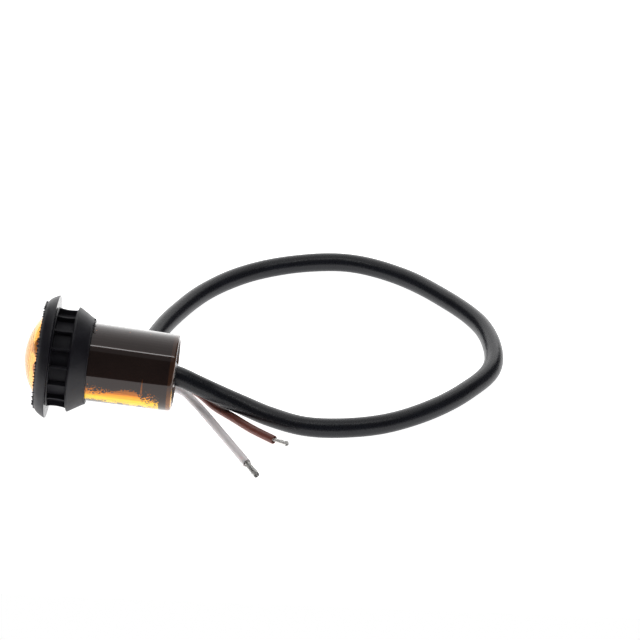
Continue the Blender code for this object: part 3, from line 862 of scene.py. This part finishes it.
def make_core(colour, route, strand_end, material, metal, lead_in, settings):
    line = smooth_line([Vector(route[0]) + Vector(lead_in), *route])
    points, length = even_points(line, 0.4 * MM)
    radius = CORE_DIAMETER / 2
    rows = tube_rows(points, np.full(len(points), radius), CORE_SIDES)
    centre = rows[-1].mean(0)
    direction = points[-1] - points[-2]
    direction /= np.linalg.norm(direction)
    spokes = rows[-1] - centre
    rng = np.random.default_rng(settings["seed"])
    torn = 1.0 + 0.06 * np.convolve(rng.uniform(-1, 1, CORE_SIDES), np.ones(3) / 3, mode="same")
    closing = []
    for share, step in [(1.0, 0.12), (0.97, 0.2), (0.88, 0.22), (0.74, 0.16), (0.7, 0.0), (0.68, -0.5)]:
        ragged = torn if step > 0.1 else np.ones(CORE_SIDES)
        closing.append(centre + spokes * share + direction * (step * ragged)[:, None] * MM)
    rows = np.concatenate([rows, np.array(closing)])
    lengths = np.concatenate([np.linspace(0, length, len(points)), np.full(len(closing), length + 0.2 * MM)])
    uv = np.stack(np.meshgrid(np.linspace(0, 1, CORE_SIDES, endpoint=False), lengths / MM), -1)
    core = grid_mesh(f"{colour}_insulation", rows, material, None, False, True, (True, True), uv)
    start = Vector(route[-1]) - Vector(direction) * 0.4 * MM
    strands = strand_mesh(f"{colour}_bare_strands", start, strand_end, material=metal, **settings)
    for piece, node in ((core, f"{colour}_core"), (strands, f"{colour}_strands")):
        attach(piece, "lamp")
        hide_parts(node)
    return core


def insulation_look(name, base, light, dirt, rough):
    look = Look(name)
    place = look.coords()
    cloud = look.noise(place, 240.0, 4.0)
    drawn = look.noise(look.coords((9.0, 0.5, 1.0), "UV"), 1.0, 4.0)
    fine = look.noise(place, 4200.0, 2.0)
    colour = look.ramp(cloud, (0.3, base), (0.75, light))
    colour = look.mix(look.span(drawn, 0.5, 0.85, 0.0, 0.12), colour, dirt)
    look.set(Base_Color=colour, Roughness=look.span(fine, 0.3, 0.7, rough - 0.05, rough + 0.08))
    look.set(Normal=look.bump(fine, 0.25, 0.00003))
    look.set(Subsurface_Weight=0.12, Subsurface_Radius=(0.0008, 0.0006, 0.0005), Subsurface_Scale=1.0)
    return look.material


def make_cores():
    white = insulation_look("white_pvc", (0.78, 0.735, 0.745), (0.86, 0.815, 0.825), (0.6, 0.54, 0.52), 0.4)
    brown = insulation_look("brown_pvc", (0.15, 0.044, 0.03), (0.2, 0.062, 0.045), (0.09, 0.028, 0.02), 0.38)
    tinned = metal_look("tinned_bundle", (0.1, 0.098, 0.095), (0.62, 0.61, 0.59), 0.25)
    bright = metal_look("bright_strands", (0.45, 0.44, 0.42), (0.9, 0.89, 0.87), 0.12)
    white_end = {"radius": 0.74 * MM, "strands": 8, "turns": 1.3, "thickness": 0.24 * MM,
                 "splay": 0.0, "seed": 41}
    brown_end = {"radius": 0.52 * MM, "strands": 12, "turns": 1.6, "thickness": 0.13 * MM,
                 "splay": 1.2, "seed": 43}
    make_core("white", WHITE_ROUTE, WHITE_STRAND_END, white, tinned, (-0.00005, 0.0009, 0.00003), white_end)
    make_core("brown", BROWN_ROUTE, BROWN_STRAND_END, brown, bright, (-0.00002, 0.0011, 0.00003), brown_end)



# --------------------------------------------------------------- camera, light


def make_camera():
    """A long lens, a little to the right of square on and well above."""
    data = bpy.data.cameras.new("camera")
    data.lens = CAMERA_LENS
    data.clip_start = 0.01
    camera = bpy.data.objects.new("camera", data)
    bpy.context.scene.collection.objects.link(camera)
    turn = Matrix.Rotation(CAMERA_AZIMUTH, 4, "Z") @ Matrix.Rotation(math.pi / 2 - CAMERA_ELEVATION, 4, "X")
    away = Matrix.Translation((0.0, 0.0, CAMERA_DISTANCE))
    camera.matrix_world = Matrix.Translation(CAMERA_AIM) @ turn @ away
    bpy.context.scene.camera = camera


def softbox(name, centre, size, level, aim=(0.0, 0.0, 0.0)):
    """A plain rectangular light of even brightness, facing aim."""
    data = bpy.data.lights.new(name, "AREA")
    data.shape = "RECTANGLE"
    data.size, data.size_y = size
    data.energy = level * math.pi * size[0] * size[1]
    light = bpy.data.objects.new(name, data)
    bpy.context.scene.collection.objects.link(light)
    light.location = centre
    light.rotation_euler = (Vector(aim) - Vector(centre)).to_track_quat("-Z", "Y").to_euler()
    light.visible_camera = False


def make_lights():
    """An overhead softbox with a strip at its front edge, a dim fill, a curved backdrop and the room.

    The camera sees the room as plain white, and the object is lit by its dimmer level.
    """
    softbox("strip", (0.0, -0.157, 0.798), (1.0, 0.043), 6.0, (0.0, -0.157, 0.0))
    softbox("fill", (0.0, -0.30, 0.8), (1.0, 0.22), 0.2, (0.0, -0.30, 0.0))
    softbox("overhead", (0.0, -0.02, 0.8), (1.1, 0.27), 0.7, (0.0, -0.02, 0.0))
    # the backdrop curves down from the overhead light to the table, brighter as it goes
    panels = 8
    reach = 0.8
    top_angle = math.radians(82.0)
    for index in range(panels):
        share = (index + 0.5) / panels
        angle = top_angle * (1 - share)
        centre = (0.0, reach * math.cos(angle), reach * math.sin(angle))
        width = 1.1 - 0.3 * share
        softbox(f"backdrop_{index + 1}", centre, (width, 1.02 * reach * top_angle / panels),
                0.7 + 1.3 * share ** 1.3)
    world = bpy.data.worlds.new("room")
    bpy.context.scene.world = world
    world.use_nodes = True
    tree = world.node_tree
    seen = tree.nodes.new("ShaderNodeLightPath")
    level = tree.nodes.new("ShaderNodeMix")
    level.inputs[2].default_value = ROOM_LEVEL
    level.inputs[3].default_value = SEEN_BACKGROUND_LEVEL
    tree.links.new(seen.outputs["Is Camera Ray"], level.inputs[0])
    tree.links.new(level.outputs[0], tree.nodes["Background"].inputs["Strength"])
    tree.nodes["Background"].inputs["Color"].default_value = (1.0, 1.0, 1.0, 1.0)


def make_floor():
    """A plain white table that glows evenly. Its front edge is just in front of the lamp."""
    mesh = bpy.data.meshes.new("floor")
    left, right, front, back = -0.8, 0.8, -0.08, 1.2
    corners = [(left, front, 0), (right, front, 0), (right, back, 0), (left, back, 0)]
    mesh.from_pydata(corners, [], [(0, 1, 2, 3)])
    material = bpy.data.materials.new("white_table")
    material.use_nodes = True
    shader = material.node_tree.nodes["Principled BSDF"]
    shader.inputs["Base Color"].default_value = (0.9, 0.9, 0.9, 1.0)
    shader.inputs["Roughness"].default_value = 0.6
    shader.inputs["Emission Color"].default_value = (1.0, 1.0, 1.0, 1.0)
    shader.inputs["Emission Strength"].default_value = TABLE_GLOW
    floor = new_object("floor", mesh, material)
    floor.location.z = -0.0002


scene = bpy.context.scene
scene.view_settings.view_transform = "Standard"
scene.view_settings.look = "None"
scene.cycles.max_bounces = 24
scene.cycles.transmission_bounces = 16
scene.cycles.transparent_max_bounces = 16

make_camera()
make_jacket()
make_cores()
make_grommet()
make_lens()
make_tube()
make_potting()
make_leds()
make_reflector()
dress_nodes()
make_lights()
make_floor()
